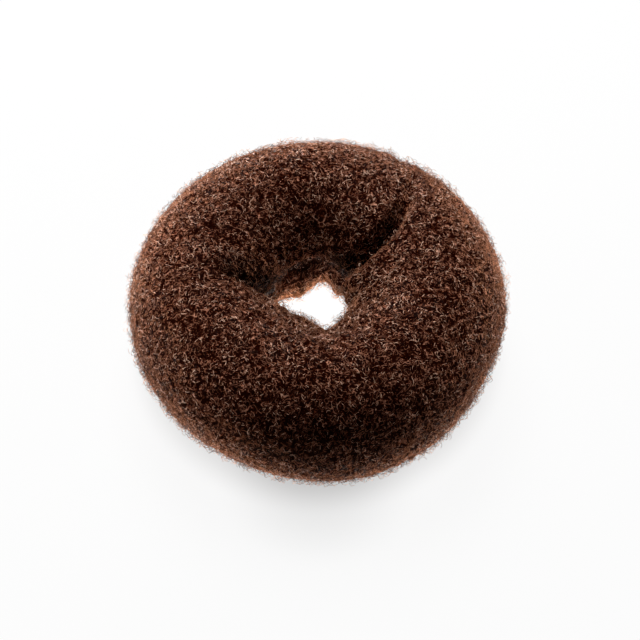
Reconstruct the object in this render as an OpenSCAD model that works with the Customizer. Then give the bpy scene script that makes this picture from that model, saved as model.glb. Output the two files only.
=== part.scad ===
// Hair donut: a sleeve of crimped nylon mesh, rolled up on itself into a soft ring.
// A ponytail is drawn through the hole and spread over the roll to make a full bun.
// Millimetres, +Z up. The ring lies flat on its underside, centred over the origin.
//
// Two angles place every point. The azimuth runs round the ring, from +X towards +Y.
// The roll angle runs round the roll: 0 at the outer side, 90 at the crown,
// 180 at the hole and 270 at the underside.

/* [Ring] */
// Diameter across the whole ring
ring_d = 90; // [86:1:110]
// Width of the roll, from the hole to the outer side
roll_w = 36; // [30:0.5:37]
// Height of the roll, from the underside to the crown
roll_h = 35; // [29:0.5:40]
// How far the underside is pressed flat where the ring rests
rest_flat = 0.6; // [0.4:0.1:1.2]

/* [Sleeve] */
// Thickness of the crimped mesh wall
wall = 5; // [4:0.25:5.5]
// Free space between one turn of the sleeve and the next
turn_gap = 0.9; // [0.8:0.1:1.4]
// Width of the hollow at the middle of the roll, where the sleeve's inner edge ends
core_w = 2.5; // [2.5:0.5:14]
// Roll angle of the sleeve's free edge, just inside the hole
edge_at = 168; // [156:2:186]
// Thickness of the wall at its free edge, where the mesh is pinched thin
edge_wall = 3; // [2:0.25:4]
// Height that the free edge stands proud of the roll
edge_lift = 1; // [0:0.25:2]
// Roll angle over which the next turn dips to pass under the free edge
edge_dip = 44; // [36:4:72]

/* [Folds] */
// Depth of the seam's crease where it opens into the hole
seam_depth = 10; // [6:0.5:11]
// Width of the seam's crease between the crown and the hole
seam_w = 6; // [5:0.5:10]
// Depth of the tuck at the hole's left corner
tuck_depth = 4; // [1:0.25:5]
// Width of the tuck where it starts, above the hole
tuck_w = 7; // [4:0.5:9]
// Height of the largest swelling, the one that leans into the hole from the right
swell_h = 5; // [1.5:0.25:5.75]

/* [Hidden] */

// A crease has a row for each place along it, once round the roll. Its depth and width are
// shares of the crease's own. Where its depth is 0 only the sections follow it.
ROLL = 0;
AZIMUTH = 1;
DEPTH = 2;
WIDTH = 3;
// The sleeve's lengthwise seam, from the outer side over the crown into the hole.
//   roll angle, azimuth, depth, width
SEAM = [
    [-90, 45, 0.00, 0.60],
    [  0, 67, 0.00, 0.60],
    [ 31, 63, 0.15, 0.80],
    [ 60, 51, 0.12, 0.80],
    [ 90, 41, 0.40, 0.90],
    [112, 34, 0.70, 1.00],
    [134, 30, 0.90, 1.20],
    [165, 27, 1.00, 1.40],
    [185, 26, 0.40, 1.20],
    [205, 26, 0.00, 1.00],
    [270, 45, 0.00, 0.60]
];
// The tuck where the ring's left side is pinched.
//   roll angle, azimuth, depth, width
TUCK = [
    [-90, 186, 0.00, 0.60],
    [ 90, 180, 0.00, 0.60],
    [110, 184, 0.30, 0.80],
    [125, 188, 0.50, 1.00],
    [140, 190, 0.80, 1.30],
    [155, 190, 1.00, 1.60],
    [175, 188, 1.00, 1.80],
    [205, 186, 1.00, 1.80],
    [235, 186, 0.50, 1.20],
    [262, 186, 0.00, 0.60],
    [270, 186, 0.00, 0.60]
];

// Swellings and dents of the roll, a row for each. Height is a share of swell_h, below zero
// for a dent. A reach is half of the swelling's extent, as an angle.
HEIGHT = 2;
ROLL_REACH = 3;
RING_REACH = 4;
//   roll angle, azimuth, height, reach round the roll, reach round the ring
SWELLS = [
    [155, 225,  0.18, 80, 50],
    [156, 252,  0.18, 60, 26],
    [175,   5,  1.00, 85, 60],
    [202,  34,  0.63, 45, 26],
    [132, 312,  0.18, 54, 28],
    [212, 130,  0.25, 45, 52],
    [142,  62,  0.28, 50, 26],
    [145,  98, -0.21, 55, 18],
    [212,  50, -0.35, 45, 16],
    [156, 279, -0.32, 60, 16],
    [ 99, 191, -0.32, 18,  8],
    [-30, 282,  0.25, 55, 45],
    [-12, 335, -0.18, 55, 25]
];

// Steps between the points of a section: fine on the skin, and coarse on the hidden turns.
skin_step = 10;
inner_step = 24;

half_w = roll_w / 2;
half_h = (roll_h + rest_flat) / 2;
centre_r = (ring_d - roll_w) / 2;
centre_z = half_h - rest_flat;
crown = 90;
// Angles along the sleeve from its free edge: over which the wall thickens to its full thickness,
// over which the edge lifts off the roll, and by which its rounded nose stands out.
edge_thinning = 60;
edge_lifting = 44;
edge_nose = 4;

// The sections near a crease lean with it, so that it follows one line of the surface, less and
// less over the angle of its lean. They stand close together for some widths of the crease to
// each side, and further apart round the rest of the ring.
seam_at = along(SEAM, crown, AZIMUTH);
seam_lean = 90;
seam_widths = 1.5;
seam_span = angle(seam_widths * seam_w, centre_r);
tuck_at = along(TUCK, crown, AZIMUTH);
tuck_lean = 45;
tuck_widths = 1;
tuck_span = angle(tuck_widths * tuck_w, centre_r);
seam_sections = 18;
back_sections = 16;
tuck_sections = 10;
front_sections = 25;
SECTIONS = concat(
    span(seam_at - seam_span, seam_at + seam_span, seam_sections),
    span(seam_at + seam_span, tuck_at - tuck_span, back_sections),
    span(tuck_at - tuck_span, tuck_at + tuck_span, tuck_sections),
    span(tuck_at + tuck_span, seam_at - seam_span + 360, front_sections)
);
function angle(length, radius) = length / radius * 180 / PI;
function span(start, end, count) = [for (k = [0:count - 1]) start + (end - start) * k / count];

function along(line, roll, column) = lookup(roll, [for (row = line) [row[ROLL], row[column]]]);
function total(list) = list * [for (i = list) 1];
// Shapes that fall from 1 at the middle to 0 at -1 and 1: a round one and a sharp one.
function bell(x) = abs(x) < 1 ? (1 + cos(180 * x)) / 2 : 0;
function pinch(x) = abs(x) < 1 ? (1 - abs(x)) ^ 2 : 0;
function ease(x) = let (t = min(max(x, 0), 1)) t * t * (3 - 2 * t);
// Brings an angle into the turn from -180 to 180, and a roll angle into the turn of the creases.
function turned(angle) = angle - 360 * round(angle / 360);
function crease_roll(roll) = roll - 360 * floor((roll - SEAM[0][ROLL]) / 360);

function lean(line, line_at, reach, section, roll) =
    bell(turned(section - line_at) / reach) * (along(line, crease_roll(roll), AZIMUTH) - line_at);
function azimuth(section, roll) =
    section
        + lean(SEAM, seam_at, seam_lean, section, roll)
        + lean(TUCK, tuck_at, tuck_lean, section, roll);

// How far the roll's surface lies from its centre line, as a share of the plain roll's distance.
function swelling(azimuth, roll) =
    total([
        for (row = SWELLS)
            row[HEIGHT] * bell(turned(roll - row[ROLL]) / row[ROLL_REACH])
                * bell(turned(azimuth - row[AZIMUTH]) / row[RING_REACH])
    ]) * swell_h / half_w;
function crease(line, depth, width, azimuth, roll) =
    let (
        at = crease_roll(roll),
        across = centre_r + half_w * cos(roll),
        off = turned(azimuth - along(line, at, AZIMUTH)) * PI / 180 * across
    )
    pinch(2 * off / (width * along(line, at, WIDTH))) * depth * along(line, at, DEPTH) / half_w;
function fullness(azimuth, roll) =
    1 + swelling(azimuth, roll)
        - crease(SEAM, seam_depth, seam_w, azimuth, roll)
        - crease(TUCK, tuck_depth, tuck_w, azimuth, roll);

// The spiral: unrolled is the angle along the sleeve from its free edge. The wall thickens from
// that edge, and each turn lies turn_gap under the one before it.
function thickness(unrolled) = edge_wall + (wall - edge_wall) * ease(unrolled / edge_thinning);
function drop(unrolled) =
    unrolled < 360
        ? ease((unrolled - 360 + edge_dip) / edge_dip) * (edge_wall + turn_gap)
        : drop(unrolled - 360) + thickness(unrolled - 360) + turn_gap;
function lift(unrolled) = edge_lift * (1 - ease(unrolled / edge_lifting));
function plain_roll(roll) = half_w * half_h / norm([half_h * cos(roll), half_w * sin(roll)]);

// A point of the wall: layer 0 is its outward face and 1 its inward face.
function wall_point(section, unrolled, layer) =
    let (
        roll = edge_at - unrolled,
        deep = plain_roll(roll) - drop(unrolled) + lift(unrolled) - layer * thickness(unrolled),
        a = azimuth(section, roll),
        r = deep * fullness(a, roll),
        across = centre_r + r * cos(roll)
    )
    [across * cos(a), across * sin(a), max(0, centre_z + r * sin(roll))];

// The sleeve winds inwards as far as the hollow at the middle of the roll allows.
function has_room(unrolled) = min(half_w, half_h) - drop(unrolled) - thickness(unrolled) >= core_w / 2;
function end_of_sleeve(unrolled) =
    has_room(unrolled + inner_step) ? end_of_sleeve(unrolled + inner_step) : unrolled;
last_angle = end_of_sleeve(360);

// The wall's cross-section, from the free edge along the outward face, back along the inward one
// and round the nose of the edge. Each point is an unrolled angle and a layer.
UNROLLED = 0;
LAYER = 1;
PROFILE = concat(
    [for (u = [0:skin_step:360]) [u, 0]],
    [for (u = [360 + inner_step:inner_step:last_angle]) [u, 0]],
    [for (u = [last_angle:-inner_step:0]) [u, 1]],
    [[-edge_nose, 0.5]]
);

// A cell between two sections is split along its lean. Faces that lie against each other in the
// roll are split along the same line, also where they don't lean, so that the gap stays open.
function split_along_lean(section, from, to) =
    let (
        nearer = azimuth(section, edge_at - min(from, to)),
        further = azimuth(section, edge_at - max(from, to))
    )
    (further > nearer) == (to > from);

module rolled_sleeve() {
    n = len(SECTIONS);
    m = len(PROFILE);
    points = [for (s = SECTIONS, p = PROFILE) wall_point(s, p[UNROLLED], p[LAYER])];
    xs = [for (p = points) p.x];
    ys = [for (p = points) p.y];
    centre = [(min(xs) + max(xs)) / 2, (min(ys) + max(ys)) / 2, 0];
    faces = [
        for (i = [0:n - 1], j = [0:m - 1])
            let (
                next_i = (i + 1) % n,
                next_j = (j + 1) % m,
                a = i * m + j,
                b = i * m + next_j,
                c = next_i * m + next_j,
                d = next_i * m + j
            )
            each split_along_lean(SECTIONS[i], PROFILE[j][UNROLLED], PROFILE[next_j][UNROLLED])
                ? [[a, d, b], [b, d, c]]
                : [[a, c, b], [a, d, c]]
    ];
    color([0.24, 0.11, 0.07])
        translate(-centre)
            polyhedron(points, faces, convexity = 10);
}

rolled_sleeve();
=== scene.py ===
import math

import bmesh
import bpy
import numpy as np
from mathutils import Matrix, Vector, noise
from mathutils.bvhtree import BVHTree


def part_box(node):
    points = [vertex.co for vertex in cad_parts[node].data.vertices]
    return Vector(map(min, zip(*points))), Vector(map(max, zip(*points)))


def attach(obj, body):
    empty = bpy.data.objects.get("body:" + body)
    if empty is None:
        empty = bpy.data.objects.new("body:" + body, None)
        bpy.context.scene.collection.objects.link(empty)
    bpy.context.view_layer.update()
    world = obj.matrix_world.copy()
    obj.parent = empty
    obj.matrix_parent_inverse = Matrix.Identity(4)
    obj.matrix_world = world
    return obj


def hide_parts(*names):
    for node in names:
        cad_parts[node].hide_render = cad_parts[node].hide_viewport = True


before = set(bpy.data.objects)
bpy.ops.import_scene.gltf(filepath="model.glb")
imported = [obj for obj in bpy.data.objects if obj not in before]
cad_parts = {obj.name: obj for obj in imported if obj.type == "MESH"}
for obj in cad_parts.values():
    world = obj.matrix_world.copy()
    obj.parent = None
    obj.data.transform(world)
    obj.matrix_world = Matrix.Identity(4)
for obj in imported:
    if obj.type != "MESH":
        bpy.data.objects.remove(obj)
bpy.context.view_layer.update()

# A hair donut: a sleeve of crimped nylon mesh, rolled up on itself into a soft ring. The frame
# gives its form. Here it is a heart of dense mesh with layers of curled strands over it.
#
# Metres, +Z up along the ring's axis. The azimuth runs round the ring from +X towards +Y. The roll
# angle runs round the roll: 0 at the outer side, 90 at the crown, 180 at the hole and 270 at the
# underside. A fade is a row of four numbers: where it begins and ends, and its value at each.
MM = 0.001
SLEEVE = "rolled_sleeve"
BODY = "root"

# The roll's centre line is a circle inside the ring.
ROLL_WIDTH = 36 * MM
lowest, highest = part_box(SLEEVE)
centre_radius = (highest.x - lowest.x - ROLL_WIDTH) / 2
centre_height = (highest.z - lowest.z) / 2


class Bench:
    """Lays nodes in a tree. An input given as a socket is linked, and any other value is set."""

    def __init__(self, tree):
        self.tree = tree

    def __call__(self, kind, inputs=None, **settings):
        node = self.tree.nodes.new(kind)
        for name, value in settings.items():
            setattr(node, name, value)
        for key, value in (inputs or {}).items():
            if isinstance(value, bpy.types.NodeSocket):
                self.tree.links.new(value, node.inputs[key])
            else:
                node.inputs[key].default_value = value
        return node

    def math(self, operation, *values):
        return self("ShaderNodeMath", dict(enumerate(values)), operation=operation).outputs[0]

    def times(self, first, second):
        return self.math("MULTIPLY", first, second)

    def vector(self, operation, *values):
        return self("ShaderNodeVectorMath", dict(enumerate(values)), operation=operation).outputs[0]

    def measure(self, operation, *values):
        """A vector operation that gives a number."""
        node = self("ShaderNodeVectorMath", dict(enumerate(values)), operation=operation)
        return node.outputs["Value"]

    def scaled(self, vector, factor):
        inputs = {0: vector, "Scale": factor}
        return self("ShaderNodeVectorMath", inputs, operation="SCALE").outputs[0]

    def noise(self, place, scale, detail=0.0):
        inputs = {"Vector": place, "Scale": scale, "Detail": detail}
        return self("ShaderNodeTexNoise", inputs).outputs["Fac"]

    def fade(self, value, steps, interpolation="SMOOTHSTEP"):
        """A value that goes from one worth to another between two places, and stays there."""
        names = ("From Min", "From Max", "To Min", "To Max")
        inputs = {"Value": value, **dict(zip(names, steps))}
        return self("ShaderNodeMapRange", inputs, interpolation_type=interpolation).outputs[0]

    def ramp(self, value, steps):
        """A fade in a straight line."""
        return self.fade(value, steps, "LINEAR")


def socket(tree, name, kind, default=None, out=False):
    side = "OUTPUT" if out else "INPUT"
    made = tree.interface.new_socket(name, in_out=side, socket_type="NodeSocket" + kind)
    if default is not None:
        made.default_value = default


def link_object(name, mesh):
    piece = bpy.data.objects.new(name, mesh)
    bpy.context.collection.objects.link(piece)
    return piece


# The skin: the sleeve's outward face, as the frame gives it
MERGE_WITHIN = 0.005 * MM
# Tufts of loose mesh that stand into the hole, and one dent. A row for each:
#   azimuth, roll angle, height, reach round the ring, reach round the roll
TUFTS = [
    (112, 214, 2.2 * MM, 30, 45),
    (60, 208, 3.4 * MM, 24, 45),
    (26, 200, -1.5 * MM, 18, 40),
]
# The sights that are tried from each face: one straight out, and some at a slant round it
SIGHT_START = 0.05 * MM
SIGHT_REACH = 12 * MM
SIGHT_TILT = math.radians(40)
SIGHT_SLANTS = 6
SIGHTS_NEEDED = 2
# Two triangles are joined to a quad up to this angle between them.
QUAD_ANGLE = math.radians(60)


def bell(angle, reach):
    """Falls from 1 at no angle to 0 at the reach, in degrees."""
    off = abs((angle + 180) % 360 - 180) / reach
    return (1 + math.cos(math.pi * off)) / 2 if off < 1 else 0.0


def tufted(place):
    """How far a place on the sleeve moves away from the roll's centre line for the tufts."""
    azimuth = math.degrees(math.atan2(place.y, place.x))
    out = Vector((place.x, place.y, 0)).normalized()
    across = math.hypot(place.x, place.y) - centre_radius
    up = place.z - centre_height
    roll = math.degrees(math.atan2(up, across))
    height = sum(
        rise * bell(azimuth - at, ring_reach) * bell(roll - roll_at, roll_reach)
        for at, roll_at, rise, ring_reach, roll_reach in TUFTS
    )
    return (out * across + Vector((0, 0, up))).normalized() * height


def tufted_sleeve():
    """A copy of the sleeve's mesh with its doubles merged and the tufts raised on it."""
    form = bmesh.new()
    form.from_mesh(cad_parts[SLEEVE].data)
    bmesh.ops.remove_doubles(form, verts=form.verts, dist=MERGE_WITHIN)
    for vertex in form.verts:
        vertex.co += tufted(vertex.co)
    return form


def is_exposed(face, tree):
    """Whether enough sights from a face into the open air are clear."""
    start = face.calc_center_median() + face.normal * SIGHT_START
    side = face.normal.orthogonal().normalized()
    other = face.normal.cross(side)
    ways = [face.normal]
    for k in range(SIGHT_SLANTS):
        turn = math.tau * k / SIGHT_SLANTS
        flat = side * math.cos(turn) + other * math.sin(turn)
        ways.append(face.normal * math.cos(SIGHT_TILT) + flat * math.sin(SIGHT_TILT))
    seen = sum(tree.ray_cast(start, way, SIGHT_REACH)[0] is None for way in ways)
    return seen >= SIGHTS_NEEDED


def skin_object(form, tree):
    """The exposed skin alone, as quads, to lay the strands on."""
    skin = form.copy()
    hidden = [face for face in skin.faces if not is_exposed(face, tree)]
    bmesh.ops.delete(skin, geom=hidden, context="FACES")
    bmesh.ops.join_triangles(
        skin,
        faces=skin.faces,
        angle_face_threshold=QUAD_ANGLE,
        angle_shape_threshold=QUAD_ANGLE,
    )
    mesh = bpy.data.meshes.new("skin")
    skin.to_mesh(mesh)
    skin.free()
    return link_object("skin", mesh)


# The heart: one closed form under the skin, smoothed and then made lumpy
HEART_DEPTH = 1.15 * MM
HEART_ROUND_RING = 300
HEART_ROUND_ROLL = 120
HEART_SMOOTHING = 3
HEART_LUMP = 0.5 * MM
HEART_LUMP_SIZE = 1.9 * MM
# How the lumps' finer waves follow: how fast they weaken, how much smaller, and how many sizes
HEART_LUMP_WAVES = (1.0, 2.0, 2)
# A line of sight into the hole stops just short of the ring's axis.
AXIS_SHARE = 0.98
PAST_SURFACE = 0.01 * MM


def skin_distance(tree, around, roll):
    """How far the skin lies from the roll's centre line, at one azimuth and one roll angle."""
    out = Vector((math.cos(around), math.sin(around), 0))
    way = out * math.cos(roll) + Vector((0, 0, math.sin(roll)))
    centre = out * centre_radius + Vector((0, 0, centre_height))
    reach = ROLL_WIDTH
    if math.cos(roll) < 0:
        reach = min(reach, AXIS_SHARE * centre_radius / -math.cos(roll))
    found, start = 0.0, 0.0
    while start < reach:
        hit = tree.ray_cast(centre + way * start, way, reach - start)[0]
        if hit is None:
            break
        found = (hit - centre).length
        start = found + PAST_SURFACE
    return found


def heart_points(tree):
    """A grid of points round the ring and round the roll, at the heart's depth under the skin."""
    rounds = np.linspace(0, math.tau, HEART_ROUND_RING, endpoint=False)
    rolls = np.linspace(0, math.tau, HEART_ROUND_ROLL, endpoint=False)
    reach = np.array([[skin_distance(tree, a, r) for r in rolls] for a in rounds])
    for _ in range(HEART_SMOOTHING):
        near = [np.roll(reach, step, axis) for step in (-1, 1) for axis in (0, 1)]
        reach = (reach * 2 + sum(near)) / 6
    reach = reach - HEART_DEPTH
    across = centre_radius + reach * np.cos(rolls)
    x = across * np.cos(rounds)[:, None]
    y = across * np.sin(rounds)[:, None]
    z = centre_height + reach * np.sin(rolls)
    return np.stack([x, y, z], axis=-1).reshape(-1, 3).tolist()


def heart_faces():
    """The quads of a grid that closes on itself both ways."""
    faces = []
    for i in range(HEART_ROUND_RING):
        row = i * HEART_ROUND_ROLL
        next_row = (i + 1) % HEART_ROUND_RING * HEART_ROUND_ROLL
        for j in range(HEART_ROUND_ROLL):
            next_j = (j + 1) % HEART_ROUND_ROLL
            faces.append([row + j, next_row + j, next_row + next_j, row + next_j])
    return faces


def heart_object(tree):
    mesh = bpy.data.meshes.new("mesh_heart")
    mesh.from_pydata(heart_points(tree), [], heart_faces())
    normals = [vertex.normal.copy() for vertex in mesh.vertices]
    for vertex, normal in zip(mesh.vertices, normals):
        lump = noise.fractal(vertex.co / HEART_LUMP_SIZE, *HEART_LUMP_WAVES)
        vertex.co += normal * lump * HEART_LUMP
    mesh.shade_smooth()
    return link_object("mesh_heart", mesh)


# The strands, laid by Geometry Nodes
STRAND_THICKNESS = 0.085 * MM
STRAND_POINTS = 6
STRAND_SIDES = 3
SKIN_FINENESS = 2
# The tree's inputs, with their kinds and the values that all the layers share
STRAND_INPUTS = {
    "Skin": ("Geometry", None),
    "Strands per square metre": ("Float", 255000.0),
    "Least depth": ("Float", 0.0),
    "Most depth": ("Float", 1 * MM),
    "Least tone": ("Float", -0.2),
    "Most tone": ("Float", 0.2),
    # Painted shade: between these depths under the skin a strand is coloured from lit to dark.
    "Lit depth": ("Float", -0.45 * MM),
    "Dark depth": ("Float", 1.3 * MM),
    "Length": ("Float", 2.3 * MM),
    "Curl radius": ("Float", 0.36 * MM),
    "Curl pitch": ("Float", 2.2 * MM),
    "Tilt": ("Float", 0.5),
    "Wander": ("Float", 0.45 * MM),
    "Clump height": ("Float", 0.35 * MM),
    "Clumps per metre": ("Float", 420.0),
    "Thickness": ("Float", STRAND_THICKNESS),
    "Seed": ("Int", 1),
    "Finish": ("Material", None),
}
# How depths and seeds differ from layer to layer
LAYERS = {
    "strands_deepest": dict(Least_depth=1.1 * MM, Most_depth=1.7 * MM, Seed=11),
    "strands_deep": dict(Least_depth=0.9 * MM, Most_depth=1.4 * MM, Seed=23),
    "strands_middle": dict(Least_depth=0.7 * MM, Most_depth=1.2 * MM, Seed=37),
    "strands_upper": dict(Least_depth=0.5 * MM, Most_depth=1.0 * MM, Seed=41),
    "strands_top": dict(Least_depth=0.05 * MM, Most_depth=0.55 * MM, Seed=59),
}
# Each strand has its own share of the length, pitch, radius and thickness.
LENGTH_SHARES = (0.7, 1.3)
PITCH_SHARES = (0.75, 1.4)
RADIUS_SHARES = (0.6, 1.35)
THICKNESS_SHARES = (0.8, 1.2)
# Fewer strands lie where the skin faces down: it is pressed flat there and isn't seen.
UNDERSIDE_SHARE = (-0.95, -0.6, 0.4, 1.0)
# The mesh is bunched: in a clump all strands stand higher, and between clumps they lie lower.
CLUMP_FADE = (0.3, 0.7, 1.0, -1.0)
# The slow noise that bends the strands, the stretch of it that they draw from, and its middle
DRIFT_SCALE = 380.0
DRIFT_STRETCH = 40.0
NOISE_MIDDLE = (0.5, 0.5, 0.5)
# What each random number is for, with the number that is added to the seed for it
SALTS = {
    "depth": 1,
    "turn": 2,
    "tilt": 3,
    "length": 4,
    "pitch": 5,
    "radius": 6,
    "start": 7,
    "hand": 8,
    "drift": 9,
    "tone": 10,
    "thickness": 11,
}


def chance(lay, given, use, low, high, strand=None):
    """A random number, the same all along a strand where the strand is given."""
    inputs = {2: low, 3: high, "Seed": lay.math("ADD", given["Seed"], float(SALTS[use]))}
    if strand is not None:
        inputs["ID"] = strand
    return lay("FunctionNodeRandomValue", inputs, data_type="FLOAT").outputs[1]


def position(lay):
    return lay("GeometryNodeInputPosition").outputs[0]


def moved(lay, geometry, **to):
    return lay("GeometryNodeSetPosition", {"Geometry": geometry} | to).outputs[0]


def stored(lay, geometry, name, kind, value):
    """Keeps a value at each point under a name."""
    inputs = {"Geometry": geometry, "Name": name, "Value": value}
    settings = {"data_type": kind, "domain": "POINT"}
    return lay("GeometryNodeStoreNamedAttribute", inputs, **settings).outputs[0]


def above_floor(lay, place):
    """Lifts what would reach through the surface that the ring rests on."""
    parts = lay("ShaderNodeSeparateXYZ", {0: place}).outputs
    height = lay.math("MAXIMUM", parts["Z"], STRAND_THICKNESS)
    inputs = {"X": parts["X"], "Y": parts["Y"], "Z": height}
    return lay("ShaderNodeCombineXYZ", inputs).outputs[0]


def strewn_points(lay, given):
    """Points strewn over the skin, as the node that gives them with their normals and turns."""
    smooth = lay(
        "GeometryNodeSubdivisionSurface", {"Mesh": given["Skin"], "Level": SKIN_FINENESS}
    ).outputs[0]
    normal = lay("GeometryNodeInputNormal").outputs["Normal"]
    upward = lay("ShaderNodeSeparateXYZ", {0: normal}).outputs["Z"]
    share = lay.ramp(upward, UNDERSIDE_SHARE)
    density = lay.times(given["Strands per square metre"], share)
    return lay(
        "GeometryNodeDistributePointsOnFaces",
        {"Mesh": smooth, "Density": density, "Seed": given["Seed"]},
        distribute_method="RANDOM",
    )


def sunk_points(lay, given, strewn):
    """The points at their depths under the skin. Each keeps its place on the skin."""
    clump = lay.ramp(lay.noise(position(lay), given["Clumps per metre"]), CLUMP_FADE)
    clump = lay.times(clump, given["Clump height"])
    depth = chance(lay, given, "depth", given["Least depth"], given["Most depth"])
    depth = lay.math("ADD", depth, clump)
    marked = stored(lay, strewn.outputs["Points"], "skin_place", "FLOAT_VECTOR", position(lay))
    down = lay.scaled(strewn.outputs["Normal"], lay.times(depth, -1.0))
    return moved(lay, marked, Offset=down)


def straight_strands(lay, given, strewn):
    """A straight line of points at each strewn point, along the skin with a little tilt."""
    tilt = chance(lay, given, "tilt", lay.times(given["Tilt"], -1.0), given["Tilt"])
    turn = chance(lay, given, "turn", 0.0, math.tau)
    euler = lay("ShaderNodeCombineXYZ", {"Y": tilt, "Z": turn}).outputs[0]
    turn = lay("FunctionNodeEulerToRotation", {"Euler": euler}).outputs[0]
    lie = lay(
        "FunctionNodeRotateRotation",
        {"Rotation": strewn.outputs["Rotation"], "Rotate By": turn},
        rotation_space="LOCAL",
    )
    half = lay.times(given["Length"], 0.5)
    start = lay("ShaderNodeCombineXYZ", {"X": lay.times(half, -1.0)}).outputs[0]
    end = lay("ShaderNodeCombineXYZ", {"X": half}).outputs[0]
    line = lay("GeometryNodeCurvePrimitiveLine", {"Start": start, "End": end}).outputs[0]
    line = lay("GeometryNodeResampleCurve", {"Curve": line, "Count": STRAND_POINTS}).outputs[0]
    placed = lay(
        "GeometryNodeInstanceOnPoints",
        {
            "Points": sunk_points(lay, given, strewn),
            "Instance": line,
            "Rotation": lie.outputs[0],
            "Scale": chance(lay, given, "length", *LENGTH_SHARES),
        },
    )
    return lay("GeometryNodeRealizeInstances", {0: placed.outputs[0]}).outputs[0]


def curled(lay, given, strand, geometry):
    """Winds each straight strand into a curl about its own line, and lets it wander."""
    along = lay("GeometryNodeSplineParameter").outputs["Length"]
    tangent = lay("GeometryNodeInputTangent").outputs["Tangent"]
    side = lay("GeometryNodeInputNormal").outputs["Normal"]
    other = lay.vector("CROSS_PRODUCT", tangent, side)
    pitch_share = chance(lay, given, "pitch", *PITCH_SHARES, strand)
    pitch = lay.times(given["Curl pitch"], pitch_share)
    radius_share = chance(lay, given, "radius", *RADIUS_SHARES, strand)
    radius = lay.times(given["Curl radius"], radius_share)
    start = chance(lay, given, "start", 0.0, math.tau, strand)
    angle = lay.math("MULTIPLY_ADD", lay.math("DIVIDE", along, pitch), math.tau, start)
    hand = lay.math("SIGN", chance(lay, given, "hand", -1.0, 1.0, strand))
    first = lay.scaled(side, lay.times(radius, lay.math("COSINE", angle)))
    second = lay.scaled(other, lay.times(lay.times(radius, hand), lay.math("SINE", angle)))
    curl = lay.vector("ADD", first, second)
    where = position(lay)
    inputs = {
        "Vector": where,
        "W": chance(lay, given, "drift", 0.0, DRIFT_STRETCH, strand),
        "Scale": DRIFT_SCALE,
        "Detail": 0.0,
    }
    drift = lay("ShaderNodeTexNoise", inputs, noise_dimensions="4D").outputs["Color"]
    drift = lay.vector("SUBTRACT", drift, NOISE_MIDDLE)
    drift = lay.scaled(drift, lay.times(given["Wander"], 2.0))
    place = lay.vector("ADD", where, lay.vector("ADD", curl, drift))
    return moved(lay, geometry, Position=above_floor(lay, place))


def toned(lay, given, strewn, strand, geometry):
    """Keeps the tone and the skin's normal at each point: painted shade, the deeper it lies, the
    darker, with each strand's own random tone.
    """
    inputs = {"Name": "skin_place"}
    kept = lay("GeometryNodeInputNamedAttribute", inputs, data_type="FLOAT_VECTOR").outputs[0]
    under = lay.vector("SUBTRACT", kept, position(lay))
    depth = lay.measure("DOT_PRODUCT", under, strewn.outputs["Normal"])
    tone = lay.ramp(depth, (given["Lit depth"], given["Dark depth"], 1.0, 0.0))
    own = chance(lay, given, "tone", given["Least tone"], given["Most tone"], strand)
    geometry = stored(lay, geometry, "strand_tone", "FLOAT", lay.math("ADD", tone, own))
    inputs = {"Geometry": geometry, "Name": "skin_place"}
    geometry = lay("GeometryNodeRemoveAttribute", inputs).outputs[0]
    return stored(lay, geometry, "skin_normal", "FLOAT_VECTOR", strewn.outputs["Normal"])


def wired(lay, given, strand, geometry):
    """Gives each strand its round thickness."""
    radius = lay.times(given["Thickness"], 0.5)
    ring = lay("GeometryNodeCurvePrimitiveCircle", {"Resolution": STRAND_SIDES, "Radius": radius})
    share = chance(lay, given, "thickness", *THICKNESS_SHARES, strand)
    sized = lay("GeometryNodeSetCurveRadius", {"Curve": geometry, "Radius": share})
    inputs = {"Curve": sized.outputs[0], "Profile Curve": ring.outputs[0], "Fill Caps": True}
    wire = lay("GeometryNodeCurveToMesh", inputs).outputs[0]
    return lay("GeometryNodeSetShadeSmooth", {"Geometry": wire}).outputs[0]


def strand_tree():
    """Curled strands, strewn over a skin at random depths under it."""
    tree = bpy.data.node_groups.new("curled_strands", "GeometryNodeTree")
    for name, (kind, value) in STRAND_INPUTS.items():
        socket(tree, name, kind, value)
    socket(tree, "Strands", "Geometry", out=True)
    lay = Bench(tree)
    given = lay("NodeGroupInput").outputs
    strewn = strewn_points(lay, given)
    strand = lay("GeometryNodeCurveOfPoint").outputs["Curve Index"]
    strands = straight_strands(lay, given, strewn)
    strands = curled(lay, given, strand, strands)
    strands = toned(lay, given, strewn, strand, strands)
    strands = wired(lay, given, strand, strands)
    real = lay("GeometryNodeRealizeInstances", {0: strands}).outputs[0]
    inputs = {"Geometry": real, "Material": given["Finish"]}
    finished = lay("GeometryNodeSetMaterial", inputs).outputs[0]
    lay("NodeGroupOutput", {"Strands": finished})
    return tree


def lay_strands(name, skin, tree, **values):
    """One layer of strands as a plain mesh."""
    modifier = skin.modifiers.new(name, "NODES")
    modifier.node_group = tree
    sockets = {item.name: item.identifier for item in tree.interface.items_tree}
    for title, value in values.items():
        modifier[sockets[title.replace("_", " ")]] = value
    evaluated = skin.evaluated_get(bpy.context.evaluated_depsgraph_get())
    mesh = bpy.data.meshes.new_from_object(evaluated)
    skin.modifiers.remove(modifier)
    mesh.name = name
    return link_object(name, mesh)


# Materials. A tone runs from 0, deep and dark, to 1, lit: mostly painted shade by depth, with some
# random tone. Each ramp gives tones their colours.
NYLON_TONES = [
    (0.0, (0.006, 0.0002, 0.0)),
    (0.3, (0.018, 0.0018, 0.0004)),
    (0.5, (0.066, 0.0165, 0.0075)),
    (0.7, (0.25, 0.096, 0.056)),
    (0.9, (0.57, 0.285, 0.18)),
    (1.0, (0.87, 0.55, 0.4)),
]
WEB_TONES = [
    (0.0, (0.003, 0.0001, 0.0)),
    (0.35, (0.016, 0.002, 0.0005)),
    (0.7, (0.092, 0.025, 0.012)),
    (1.0, (0.34, 0.155, 0.098)),
]
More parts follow.
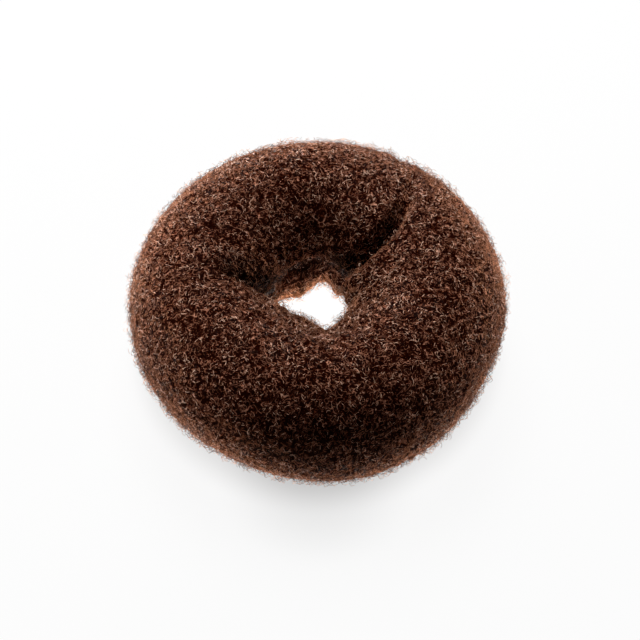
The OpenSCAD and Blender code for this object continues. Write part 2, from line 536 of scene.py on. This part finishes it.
# Painted light: colour is added as if light shone through the thin mesh at the hole's low edge. It
# fades with height and from the axis.
PAINTED_GLOW_HEIGHT = (8 * MM, 14 * MM, 1.0, 0.0)
PAINTED_GLOW_REACH = (14 * MM, 20 * MM, 1.0, 0.0)
STRAND_PAINTED_GLOW = (0.5, 0.24, 0.11, 1)
WEB_PAINTED_GLOW = (0.36, 0.15, 0.06, 1)
# Painted shade: the mesh that is pressed in behind the line of the tuck at the hole's left corner
# is coloured darker.
# The line runs out from the axis at an azimuth. Two fades run across it and two along it.
TUCK_AZIMUTH = math.radians(188)
TUCK_EDGE = (-0.4 * MM, 0.7 * MM, 0.0, 1.0)
TUCK_FADE = (2.5 * MM, 9 * MM, 1.0, 0.0)
TUCK_START = (-2 * MM, 5 * MM, 0.0, 1.0)
TUCK_END = (19 * MM, 26 * MM, 1.0, 0.0)
PAINTED_TUCK_SHADE = 0.75
# Painted shade in two hollows in the hole's far side. A row for each: its middle, and the fade of
# its light
PAINTED_HOLLOW_SHADES = [
    ((7.5 * MM, 8.5 * MM, 21 * MM), (2.5 * MM, 6.5 * MM, 0.2, 1.0)),
    ((-4 * MM, 11.5 * MM, 17 * MM), (1.5 * MM, 5.5 * MM, 0.5, 1.0)),
]
# Patches of the mesh are a little lighter or darker at random, and short stretches of each strand
# carry painted glints and painted shade.
PATCH_SCALE = 140.0
PATCH_DETAIL = 2.0
PATCH_TONE = 0.2
PAINTED_GLINT_SCALE = 1500.0
PAINTED_GLINT_FADE = (0.38, 0.62, -0.45, 0.45)
# How far a strand's shading follows the skin's own facing and not its own round side
SKIN_SHARE = 0.7
NYLON_FINISH = {
    "Sheen Weight": 1.0,
    "Sheen Roughness": 0.22,
    "Sheen Tint": (1.0, 0.44, 0.24, 1),
    "Roughness": 0.25,
    "IOR": 1.53,
    "Specular IOR Level": 0.04,
    "Specular Tint": (1.0, 0.7, 0.55, 1),
}
WEB_FINISH = {
    "Sheen Weight": 1.0,
    "Sheen Roughness": 0.22,
    "Sheen Tint": (1.0, 0.42, 0.22, 1),
    "Roughness": 0.7,
    "Specular IOR Level": 0.0,
}
WEB_BUMP = {"Distance": 0.3 * MM, "Strength": 0.7}
# The heart's webs of strands, each one over the last, nearer, finer and shifted in the noise
WEBS = 8
WEB_SHIFT = (0.31, 0.17, 0.23)
WEB_SCALE = 680.0
WEB_SCALE_STEP = 60.0
# Painted shade: the deepest web has this least tone, and each nearer web is lighter.
WEB_LEAST_TONE = 0.3
WEB_WIDTH = 0.085
# Fades across a web's strand, from its middle: what it covers, with painted shade at its border,
# and its lit core
WEB_COVER = (0.8, 1.2, 1.0, 0.0)
WEB_CORE = (0.2, 0.9, 1.0, 0.0)
# Painted light and shade: along a strand, one stretch is coloured lit and the next dark, as if it
# turned away.
STRETCH_SHIFT = (0.41, 0.13, 0.29)
STRETCH_SCALE = 0.8
STRETCH_FADE = (0.42, 0.56, 0.25, 1.0)


def new_material(name):
    """A material with its bench and its shader."""
    material = bpy.data.materials.new(name)
    material.use_nodes = True
    tree = material.node_tree
    return material, Bench(tree), tree.nodes["Principled BSDF"]


def set_finish(shader, finish):
    for name, value in finish.items():
        shader.inputs[name].default_value = value


def colour_ramp(lay, value, stops):
    node = lay("ShaderNodeValToRGB", {"Fac": value})
    ramp = node.color_ramp
    while len(ramp.elements) < len(stops):
        ramp.elements.new(0.5)
    for element, (place, colour) in zip(ramp.elements, stops):
        element.position = place
        element.color = (*colour, 1)
    return node.outputs["Color"]


def painted_crease_shade():
    """A shader group that paints shade on the mesh behind the tuck's line and in the hollows."""
    group = bpy.data.node_groups.new("painted_crease_shade", "ShaderNodeTree")
    socket(group, "Colour", "Color")
    socket(group, "Place", "Vector")
    socket(group, "Colour", "Color", out=True)
    lay = Bench(group)
    given = lay("NodeGroupInput").outputs
    out_way = (math.cos(TUCK_AZIMUTH), math.sin(TUCK_AZIMUTH), 0)
    across_way = (math.sin(TUCK_AZIMUTH), -math.cos(TUCK_AZIMUTH), 0)
    out = lay.measure("DOT_PRODUCT", given["Place"], out_way)
    across = lay.measure("DOT_PRODUCT", given["Place"], across_way)
    shade = lay.times(lay.fade(across, TUCK_EDGE), lay.fade(across, TUCK_FADE))
    shade = lay.times(shade, lay.fade(out, TUCK_START))
    shade = lay.times(shade, lay.fade(out, TUCK_END))
    light = lay.math("SUBTRACT", 1.0, lay.times(shade, PAINTED_TUCK_SHADE))
    for middle, steps in PAINTED_HOLLOW_SHADES:
        away = lay.measure("DISTANCE", given["Place"], middle)
        light = lay.times(light, lay.fade(away, steps))
    lay("NodeGroupOutput", {"Colour": lay.scaled(given["Colour"], light)})
    return group


def painted_shine_through():
    """A shader group that adds painted light to the colour, as if shining through the low edge of
    the hole.
    """
    group = bpy.data.node_groups.new("painted_shine_through", "ShaderNodeTree")
    socket(group, "Colour", "Color")
    socket(group, "Place", "Vector")
    socket(group, "Tone", "Float", 0.5)
    socket(group, "Glow", "Color")
    socket(group, "Colour", "Color", out=True)
    lay = Bench(group)
    given = lay("NodeGroupInput").outputs
    parts = lay("ShaderNodeSeparateXYZ", {0: given["Place"]}).outputs
    flat = lay("ShaderNodeCombineXYZ", {"X": parts["X"], "Y": parts["Y"]}).outputs[0]
    low = lay.fade(parts["Z"], PAINTED_GLOW_HEIGHT)
    inner = lay.fade(lay.measure("LENGTH", flat), PAINTED_GLOW_REACH)
    glow = lay.scaled(given["Glow"], lay.times(given["Tone"], lay.times(low, inner)))
    lay("NodeGroupOutput", {"Colour": lay.vector("ADD", given["Colour"], glow)})
    return group


def mesh_colour(lay, place, tone, tones, glow):
    """The mesh's colour by its tone, with painted shade in the creases and painted light at its low
    edge.
    """
    inputs = {"Colour": colour_ramp(lay, tone, tones), "Place": place}
    shaded = lay("ShaderNodeGroup", inputs, node_tree=painted_shade_group).outputs["Colour"]
    inputs = {"Colour": shaded, "Place": place, "Tone": tone, "Glow": glow}
    return lay("ShaderNodeGroup", inputs, node_tree=painted_glow_group).outputs["Colour"]


def nylon_material():
    """Strands of dyed nylon with painted shade, glints and glow: the deeper they lie, the darker
    and redder they are coloured.
    """
    material, lay, shader = new_material("brown_nylon")
    place = lay("ShaderNodeTexCoord").outputs["Object"]
    tone = lay("ShaderNodeAttribute", attribute_name="strand_tone").outputs["Fac"]
    patch = lay.noise(place, PATCH_SCALE, PATCH_DETAIL)
    patch = lay.math("MULTIPLY_ADD", patch, PATCH_TONE, -PATCH_TONE / 2)
    # Painted glints: short stretches of each strand are coloured lighter or darker.
    painted_glint = lay.ramp(lay.noise(place, PAINTED_GLINT_SCALE), PAINTED_GLINT_FADE)
    tone = lay.math("ADD", lay.math("ADD", tone, patch), painted_glint)
    colour = mesh_colour(lay, place, tone, NYLON_TONES, STRAND_PAINTED_GLOW)
    skin_normal = lay("ShaderNodeAttribute", attribute_name="skin_normal").outputs["Vector"]
    skin_normal = lay(
        "ShaderNodeVectorTransform",
        {0: skin_normal},
        vector_type="NORMAL",
        convert_from="OBJECT",
        convert_to="WORLD",
    ).outputs[0]
    own_normal = lay("ShaderNodeNewGeometry").outputs["Normal"]
    inputs = {0: SKIN_SHARE, 4: own_normal, 5: skin_normal}
    facing = lay("ShaderNodeMix", inputs, data_type="VECTOR").outputs[1]
    lay.tree.links.new(colour, shader.inputs["Base Color"])
    lay.tree.links.new(lay.vector("NORMALIZE", facing), shader.inputs["Normal"])
    set_finish(shader, NYLON_FINISH)
    return material


def strand_web():
    """A shader group of curling strands, where a smooth noise passes through its middle value, each
    with painted shade at its border and painted light and shade along it.
    """
    group = bpy.data.node_groups.new("strand_web", "ShaderNodeTree")
    socket(group, "Place", "Vector")
    socket(group, "Scale", "Float", WEB_SCALE)
    socket(group, "Width", "Float", WEB_WIDTH)
    socket(group, "Tone", "Float", 1.0)
    socket(group, "Under", "Float", 0.0)
    socket(group, "Over", "Float", out=True)
    lay = Bench(group)
    given = lay("NodeGroupInput").outputs
    value = lay.noise(given["Place"], given["Scale"])
    off = lay.math("ABSOLUTE", lay.math("SUBTRACT", value, 0.5))
    off = lay.math("DIVIDE", off, given["Width"])
    shifted = lay.vector("ADD", given["Place"], STRETCH_SHIFT)
    stretch = lay.noise(shifted, lay.times(given["Scale"], STRETCH_SCALE))
    lit = lay.times(lay.ramp(stretch, STRETCH_FADE), given["Tone"])
    line = lay.times(lay.ramp(off, WEB_CORE), lit)
    inputs = {0: lay.ramp(off, WEB_COVER), 2: given["Under"], 3: line}
    over = lay("ShaderNodeMix", inputs, data_type="FLOAT").outputs[0]
    lay("NodeGroupOutput", {"Over": over})
    return group


def heart_material():
    """Dense mesh: webs of curling strands, each over the one before it, with painted shade: the
    deeper webs are darker.
    """
    material, lay, shader = new_material("dense_mesh")
    place = lay("ShaderNodeTexCoord").outputs["Object"]
    group = strand_web()
    tone = 0.0
    for k in range(WEBS):
        inputs = {
            "Place": lay.vector("ADD", place, tuple(k * step for step in WEB_SHIFT)),
            "Scale": WEB_SCALE + WEB_SCALE_STEP * k,
            "Tone": WEB_LEAST_TONE + (1 - WEB_LEAST_TONE) * k / (WEBS - 1),
            "Under": tone,
        }
        tone = lay("ShaderNodeGroup", inputs, node_tree=group).outputs["Over"]
    colour = mesh_colour(lay, place, tone, WEB_TONES, WEB_PAINTED_GLOW)
    bump = lay("ShaderNodeBump", {"Height": tone} | WEB_BUMP).outputs[0]
    lay.tree.links.new(colour, shader.inputs["Base Color"])
    lay.tree.links.new(bump, shader.inputs["Normal"])
    set_finish(shader, WEB_FINISH)
    return material


# Camera. It looks down on the ring at a slant, a few pixels aside of its middle.
CAMERA_ELEVATION = math.radians(56)
CAMERA_LENS = 100
CAMERA_SENSOR = 36
CAMERA_DISTANCE = 0.4154
# The width at the ring of one pixel of the picture
PIXEL = MM / 4.28
CAMERA_ASIDE = (2 * PIXEL, -16.5 * PIXEL, 0)
# Floor. It looks evenly bright, with soft painted shade on it, and most of its light is cast near
# the ring.
FLOOR_HALF = 3.0
FLOOR_WHITE = 0.035
FLOOR_NEAR = (20 * MM, 40 * MM, 1.0, 0.93)
FLOOR_FAR = (300 * MM, 700 * MM, 0.0, 0.03)
# The painted shadow under the ring, between the hole and the outer side, and the one in front of it
CONTACT_OUTER = (35 * MM, 47 * MM, 0.26, 0.0)
CONTACT_INNER = (18 * MM, 25 * MM, 0.26, 0.0)
FRONT_PLACE = (0, -36 * MM, 0)
FRONT_SHADE = (3 * MM, 25 * MM, 0.17, 0.0)
# The light that the floor casts, brightest round a place behind the ring
CAST_PLACE = (0, 42 * MM, 0)
CAST_LIGHT = (80 * MM, 125 * MM, 6.5, 0.1)
# World: its strength as a light, and as the camera sees it
WORLD_LIGHT = 0.05
WORLD_SEEN = 0.96
# Soft boxes that face the ring. A row for each:
#   name, azimuth, elevation, distance, width and height, power
LAMPS = [
    ("key", 97, 55, 0.5, (0.25, 0.25), 3.8),
    ("rim_back", 95, 7, 0.7, (0.4, 0.1), 9),
    ("rim_left", 168, 5, 0.7, (0.4, 0.1), 9),
    ("rim_right", 14, 5, 0.7, (0.4, 0.1), 3.4),
]


def make_camera():
    target = Vector((0, 0, (lowest.z + highest.z) / 2))
    back = Vector((0, -math.cos(CAMERA_ELEVATION), math.sin(CAMERA_ELEVATION)))
    turn = (-back).to_track_quat("-Z", "Y")
    data = bpy.data.cameras.new("camera")
    data.lens = CAMERA_LENS
    data.sensor_width = CAMERA_SENSOR
    camera = bpy.data.objects.new("camera", data)
    camera.rotation_mode = "QUATERNION"
    camera.rotation_quaternion = turn
    camera.location = target + back * CAMERA_DISTANCE + turn @ Vector(CAMERA_ASIDE)
    bpy.context.collection.objects.link(camera)
    bpy.context.scene.camera = camera


def make_floor():
    mesh = bpy.data.meshes.new("floor")
    half = FLOOR_HALF
    corners = [(-half, -half, 0), (half, -half, 0), (half, half, 0), (-half, half, 0)]
    mesh.from_pydata(corners, [], [(0, 1, 2, 3)])
    material, lay, shader = new_material("floor")
    place = lay("ShaderNodeTexCoord").outputs["Object"]
    from_middle = lay.measure("LENGTH", place)
    from_front = lay.measure("DISTANCE", place, FRONT_PLACE)
    from_cast = lay.measure("DISTANCE", place, CAST_PLACE)
    # Painted shadow on the floor's seen light: under the ring and in front of it.
    inner, outer = lay.fade(from_middle, CONTACT_INNER), lay.fade(from_middle, CONTACT_OUTER)
    shade = lay.math("ADD", lay.math("SUBTRACT", outer, inner), lay.fade(from_front, FRONT_SHADE))
    seen = lay.math("ADD", lay.fade(from_middle, FLOOR_NEAR), lay.fade(from_middle, FLOOR_FAR))
    seen = lay.math("SUBTRACT", seen, shade)
    cast = lay.fade(from_cast, CAST_LIGHT)
    direct = lay("ShaderNodeLightPath").outputs["Is Camera Ray"]
    inputs = {0: direct, 2: cast, 3: seen}
    strength = lay("ShaderNodeMix", inputs, data_type="FLOAT").outputs[0]
    lay.tree.links.new(strength, shader.inputs["Emission Strength"])
    finish = {
        "Emission Color": (1, 1, 1, 1),
        "Base Color": (FLOOR_WHITE, FLOOR_WHITE, FLOOR_WHITE, 1),
        "Roughness": 0.5,
        "Specular IOR Level": 0.0,
    }
    set_finish(shader, finish)
    mesh.materials.append(material)
    link_object("floor", mesh)


def make_lamp(name, azimuth, elevation, distance, size, power):
    light = bpy.data.lights.new(name, "AREA")
    light.shape = "RECTANGLE"
    light.size, light.size_y = size
    light.energy = power
    lamp = bpy.data.objects.new(name, light)
    around, up = math.radians(azimuth), math.radians(elevation)
    flat = math.cos(up) * distance
    lamp.location = (math.cos(around) * flat, math.sin(around) * flat, math.sin(up) * distance)
    lamp.rotation_mode = "QUATERNION"
    lamp.rotation_quaternion = lamp.location.to_track_quat("Z", "Y")
    lamp.visible_camera = False
    bpy.context.collection.objects.link(lamp)


def make_world():
    world = bpy.data.worlds.new("studio")
    world.use_nodes = True
    lay = Bench(world.node_tree)
    background = world.node_tree.nodes["Background"]
    background.inputs["Color"].default_value = (1, 1, 1, 1)
    direct = lay("ShaderNodeLightPath").outputs["Is Camera Ray"]
    strength = lay.ramp(direct, (0.0, 1.0, WORLD_LIGHT, WORLD_SEEN))
    world.node_tree.links.new(strength, background.inputs["Strength"])
    bpy.context.scene.world = world


bpy.context.scene.view_settings.view_transform = "Standard"
make_camera()
make_floor()
make_world()
for row in LAMPS:
    make_lamp(*row)

sleeve = tufted_sleeve()
sight = BVHTree.FromBMesh(sleeve)
skin = skin_object(sleeve, sight)
heart = heart_object(sight)
sleeve.free()

painted_shade_group = painted_crease_shade()
painted_glow_group = painted_shine_through()
heart.data.materials.append(heart_material())
nylon = nylon_material()
tree = strand_tree()
layers = [
    lay_strands(name, skin, tree, Finish=nylon, **values) for name, values in LAYERS.items()
]
bpy.data.objects.remove(skin)

for piece in [heart, *layers]:
    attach(piece, BODY)
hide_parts(SLEEVE)
